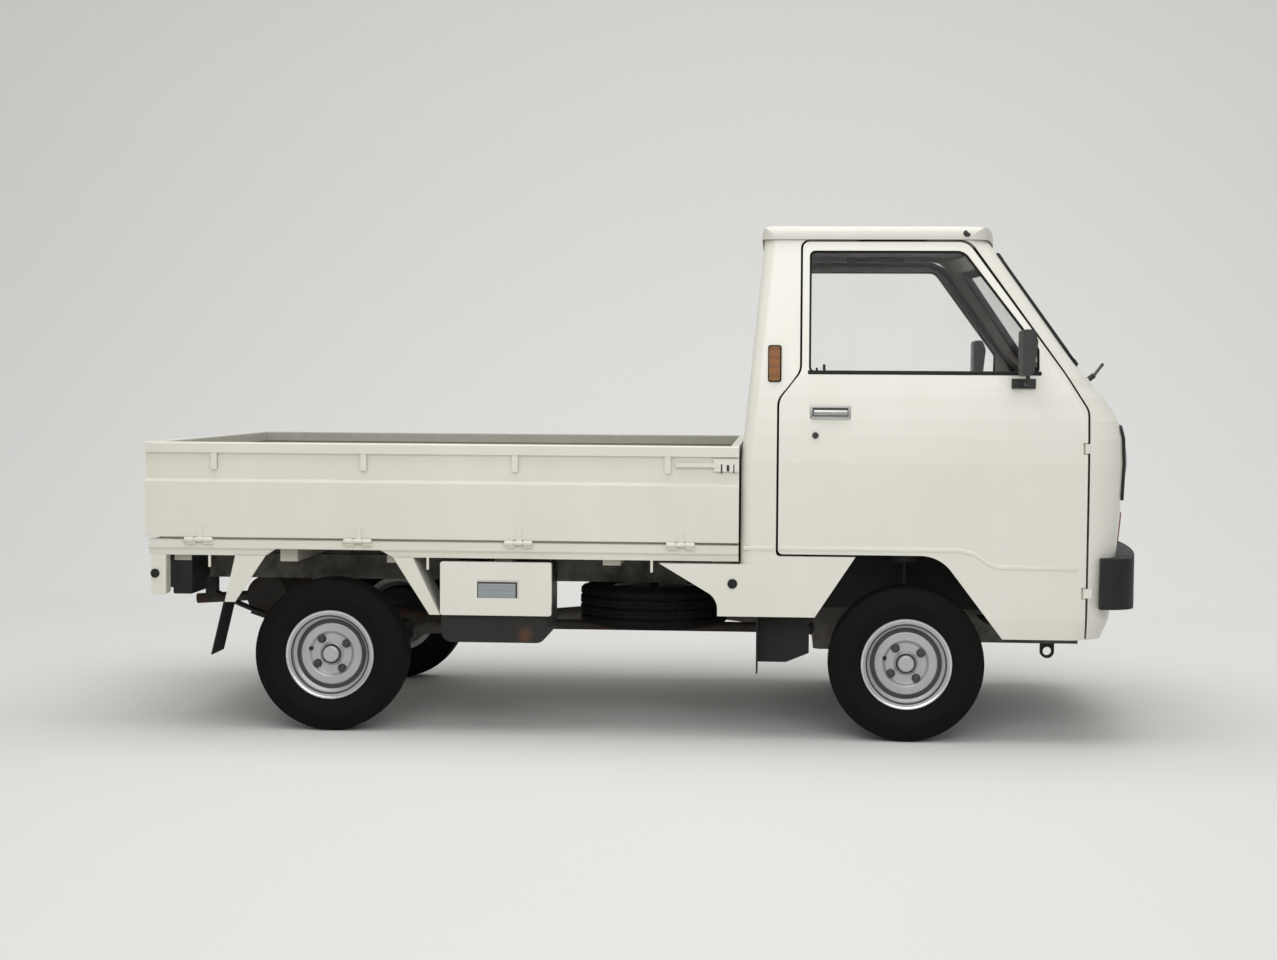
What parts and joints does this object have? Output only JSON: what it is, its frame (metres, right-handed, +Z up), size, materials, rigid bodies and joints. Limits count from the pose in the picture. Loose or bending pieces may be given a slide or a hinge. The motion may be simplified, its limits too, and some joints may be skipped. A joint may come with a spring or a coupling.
{
  "type": "kei truck",
  "caption": "Small cab-over pickup truck with a steel cab, opening doors, a flat bed with hinged drop sides and a tailgate, and steered front wheels.",
  "frame": {"origin": "on the ground, under the middle of the vehicle's bounding box", "axes": "+X forwards, +Y to the vehicle's left, +Z up"},
  "size_m": [3.195, 1.694, 1.6361],
  "materials": {
    "paint": "gloss, slightly chalked",
    "black_plastic": "matte",
    "chassis_black": "satin",
    "tyre": "matte",
    "wheel_silver": "satin silver",
    "glass": "clear",
    "lamp_glass": "fluted",
    "amber": "gloss",
    "lamp_red": "gloss",
    "vinyl": "grained vinyl",
    "rubber": "matte",
    "cast_alloy": "rough cast",
    "rusty_steel": "rusted"
  },
  "bodies": {
    "body": {"cab_back_wall": "paint", "cab_side_right": "paint", "cab_side_left": "paint", "cab_nose": "paint", "windscreen_frame": "paint", "cab_roof": "paint", "headboard": "paint", "bed_side_rails": "paint", "rear_panel": "paint", "rear_wings": "paint", "tank_cover": "paint", "cab_floor": "paint", "bed_floor": "paint", "front_bumper": "black_plastic", "grille": "black_plastic", "dashboard": "black_plastic", "wipers": "black_plastic", "steering_column": "black_plastic", "chassis_rails": "chassis_black", "cross_members": "chassis_black", "front_suspension": "chassis_black", "rear_axle": "chassis_black", "rear_springs": "chassis_black", "fuel_tank": "chassis_black", "tow_eye": "chassis_black", "spare_tyre": "tyre", "spare_rim": "wheel_silver", "cab_glass": "glass", "headlamps": "lamp_glass", "amber_lamps": "amber", "rear_lamps": "lamp_red", "seats": "vinyl", "mud_flaps": "rubber", "engine": "cast_alloy", "gearbox": "cast_alloy", "exhaust": "rusty_steel"},
    "knuckle_right": {"knuckle_right": "chassis_black"},
    "knuckle_left": {"knuckle_left": "chassis_black"},
    "tie_rod": {"tie_rod": "chassis_black"},
    "steering_wheel": {"steering_wheel": "black_plastic"},
    "wheel_front_right": {"tyre_front_right": "tyre", "rim_front_right": "wheel_silver"},
    "wheel_front_left": {"tyre_front_left": "tyre", "rim_front_left": "wheel_silver"},
    "wheel_rear_right": {"tyre_rear_right": "tyre", "rim_rear_right": "wheel_silver"},
    "wheel_rear_left": {"tyre_rear_left": "tyre", "rim_rear_left": "wheel_silver"},
    "door_right": {"door_right": "paint", "door_glass_right": "glass", "mirror_right": "black_plastic"},
    "door_left": {"door_left": "paint", "door_glass_left": "glass", "mirror_left": "black_plastic"},
    "side_gate_right": {"side_gate_right": "paint"},
    "side_gate_left": {"side_gate_left": "paint"},
    "tailgate": {"tailgate": "paint"}
  },
  "joints": [
    {"name": "steer_right", "type": "hinge", "parent": "body", "child": "knuckle_right", "pos_m": [0.83, -0.52, 0.246], "axis": [0, 0, 1], "range_deg": [-33, 33]},
    {"name": "steer_left", "type": "hinge", "parent": "body", "child": "knuckle_left", "pos_m": [0.83, 0.52, 0.246], "axis": [0, 0, 1], "range_deg": [-33, 33]},
    {"name": "tie_rod_slide", "type": "slide", "parent": "body", "child": "tie_rod", "axis": [0, -1, 0], "range_m": [-0.064, 0.064]},
    {"name": "steering_wheel_turn", "type": "hinge", "parent": "body", "child": "steering_wheel", "pos_m": [0.99, -0.33, 0.985], "axis": [-0.5299, 0, 0.848], "range_deg": [-530, 530]},
    {"name": "wheel_front_right_spin", "type": "hinge", "parent": "knuckle_right", "child": "wheel_front_right", "pos_m": [0.83, -0.6075, 0.246], "axis": [0, 1, 0], "continuous": true},
    {"name": "wheel_front_left_spin", "type": "hinge", "parent": "knuckle_left", "child": "wheel_front_left", "pos_m": [0.83, 0.6075, 0.246], "axis": [0, 1, 0], "continuous": true},
    {"name": "wheel_rear_right_spin", "type": "hinge", "parent": "body", "child": "wheel_rear_right", "pos_m": [-1.01, -0.59, 0.246], "axis": [0, 1, 0], "continuous": true},
    {"name": "wheel_rear_left_spin", "type": "hinge", "parent": "body", "child": "wheel_rear_left", "pos_m": [-1.01, 0.59, 0.246], "axis": [0, 1, 0], "continuous": true},
    {"name": "door_right_hinge", "type": "hinge", "parent": "body", "child": "door_right", "pos_m": [1.373, -0.6885, 0.8], "axis": [0, 0, 1], "range_deg": [0, 70]},
    {"name": "door_left_hinge", "type": "hinge", "parent": "body", "child": "door_left", "pos_m": [1.373, 0.6885, 0.8], "axis": [0, 0, -1], "range_deg": [0, 70]},
    {"name": "side_gate_right_hinge", "type": "hinge", "parent": "body", "child": "side_gate_right", "pos_m": [-0.65, -0.7033, 0.617], "axis": [1, 0, 0], "range_deg": [0, 175]},
    {"name": "side_gate_left_hinge", "type": "hinge", "parent": "body", "child": "side_gate_left", "pos_m": [-0.65, 0.7033, 0.617], "axis": [-1, 0, 0], "range_deg": [0, 175]},
    {"name": "tailgate_hinge", "type": "hinge", "parent": "body", "child": "tailgate", "pos_m": [-1.592, 0, 0.617], "axis": [0, -1, 0], "range_deg": [0, 175]}
  ],
  "couplings": [
    {"joint": "steer_right", "follows": "steer_left", "ratio": 1},
    {"joint": "tie_rod_slide", "follows": "steer_left", "m_per_rad": 0.11},
    {"joint": "steering_wheel_turn", "follows": "steer_left", "ratio": 16}
  ]
}
